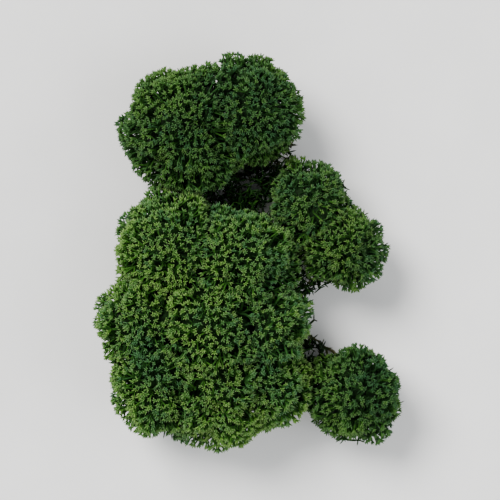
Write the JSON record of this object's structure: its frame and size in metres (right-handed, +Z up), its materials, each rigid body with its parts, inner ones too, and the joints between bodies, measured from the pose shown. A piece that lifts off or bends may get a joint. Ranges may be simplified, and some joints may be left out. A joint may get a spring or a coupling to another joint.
{
  "type": "reindeer moss clump",
  "caption": "Clump of dyed green reindeer moss, rounded heads of fine forked twigs packed side by side on bare stalks, resting crowns up.",
  "frame": {"origin": "middle of the clump's bounding box in plan, on the surface that its stalks' feet rest on", "axes": "+X across the clump, towards the pair of small heads at its side; +Y along the clump, towards its two wide heads; +Z up, out of the crowns"},
  "size_m": [0.0594, 0.0772, 0.0281],
  "materials": {
    "lichen_yellow_green": "matte dyed lichen",
    "lichen_green": "matte dyed lichen",
    "lichen_deep_green": "matte dyed lichen"
  },
  "bodies": {
    "root": {"head_upper_left": "lichen_deep_green", "head_upper_right": "lichen_deep_green", "head_right_small": "lichen_green", "head_right": "lichen_green", "head_corner": "lichen_deep_green", "head_left": "lichen_yellow_green", "head_middle_right": "lichen_yellow_green", "head_side_left": "lichen_yellow_green", "head_centre": "lichen_yellow_green", "head_side_right": "lichen_yellow_green", "head_lower_left": "lichen_yellow_green", "head_lower_middle": "lichen_yellow_green", "head_lower_right": "lichen_yellow_green"}
  },
  "joints": []
}
